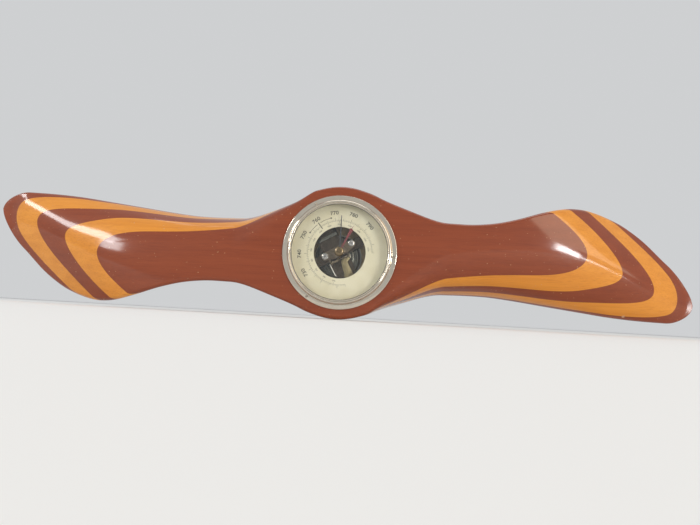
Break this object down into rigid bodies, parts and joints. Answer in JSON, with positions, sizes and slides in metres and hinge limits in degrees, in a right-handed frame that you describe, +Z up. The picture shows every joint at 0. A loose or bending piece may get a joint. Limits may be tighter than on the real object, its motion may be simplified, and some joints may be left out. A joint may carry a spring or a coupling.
{
  "type": "aneroid wall barometer",
  "caption": "Aneroid wall barometer in the hub of a laminated wooden propeller: glazed bezel, dial, indicator and set hands, capsule movement, keyhole hanger.",
  "frame": {"origin": "where the axis of the hub meets the wall plane, on the flat back of the hub", "axes": "+X along the blades to the right, +Z up the wall, +Y into the wall; the dial faces -Y"},
  "size_m": [0.6478, 0.0483, 0.117],
  "materials": {
    "brown_wood": "lacquered, gloss",
    "light_wood": "lacquered, gloss",
    "brass": "satin",
    "aged_brass": "dull",
    "steel": "bright",
    "dark_steel": "browned",
    "blued_steel": "blued",
    "capsule_metal": "dull nickel",
    "case_metal": "plain",
    "bezel_chrome": "polished",
    "clear_glass": "clear",
    "dial_card": "matt cream",
    "black_paint": "semi-gloss",
    "red_paint": "semi-gloss"
  },
  "bodies": {
    "root": {"front_board": "brown_wood", "light_board_front": "light_wood", "middle_board": "brown_wood", "light_board_rear": "light_wood", "rear_board": "brown_wood", "hanger_plate": "brass", "hanger_screws": "steel", "case_can": "case_metal", "bezel_ring": "bezel_chrome", "bezel_pins": "bezel_chrome", "glass": "clear_glass", "glass_ring": "brass", "dial_plate": "dial_card", "dial_feet": "brass", "dial_foot_screws": "steel", "base_plate": "aged_brass", "base_spacers": "brass", "base_screws": "steel", "capsule_foot": "aged_brass", "capsule_lower_shell": "capsule_metal", "capsule_upper_shell": "capsule_metal", "spring_bracket": "dark_steel", "spring_screws": "steel", "frame_pillars": "aged_brass", "frame_bar": "dark_steel", "frame_screws": "steel", "rocker_lugs": "aged_brass", "hairspring": "blued_steel", "hairspring_stud": "aged_brass", "bridge_pillars": "aged_brass", "bridge_plate": "aged_brass", "bridge_screws": "steel"},
    "pointer": {"pointer_arbor": "steel", "indicator_hand": "black_paint"},
    "rocker_shaft": {"rocker": "aged_brass"},
    "chain_strand": {"chain": "steel"},
    "spring_arm": {"spring_leaf": "dark_steel", "main_lever": "brass", "lever_link": "steel", "capsule_stud": "brass", "stud_nut": "aged_brass"},
    "set_hand_and_knob": {"set_hand": "red_paint", "set_knob": "brass"},
    "adjuster": {"adjusting_screw": "steel"}
  },
  "joints": [
    {"name": "indicator_turn", "type": "hinge", "parent": "root", "child": "pointer", "pos_m": [0, -0.035, 0], "axis": [0, 1, 0], "range_deg": [-125, 60], "stiffness_Nm_per_rad": 0.0005},
    {"name": "rocker_tilt", "type": "hinge", "parent": "root", "child": "rocker_shaft", "pos_m": [0.00225, -0.0287, -0.0039], "axis": [0.866, 0, 0.5], "range_deg": [-20.5, 10]},
    {"name": "chain_pull", "type": "slide", "parent": "root", "child": "chain_strand", "axis": [-0.5, 0, 0.866], "range_m": [-0.0009, 0.0018]},
    {"name": "lever_tilt", "type": "hinge", "parent": "root", "child": "spring_arm", "pos_m": [-0.01785, -0.022, 0.02491], "axis": [0.866, 0, 0.5], "range_deg": [-1.2, 0.6]},
    {"name": "set_knob_turn", "type": "hinge", "parent": "root", "child": "set_hand_and_knob", "pos_m": [0, -0.0433, 0], "axis": [0, 1, 0], "continuous": true},
    {"name": "adjusting_screw_turn", "type": "hinge", "parent": "root", "child": "adjuster", "pos_m": [-0.0181, -0.015, 0.02535], "axis": [0, 1, 0], "continuous": true}
  ],
  "couplings": [
    {"joint": "rocker_tilt", "follows": "indicator_turn", "ratio": 0.16},
    {"joint": "chain_pull", "follows": "indicator_turn", "m_per_rad": -0.0008},
    {"joint": "lever_tilt", "follows": "indicator_turn", "ratio": 0.0086486}
  ]
}
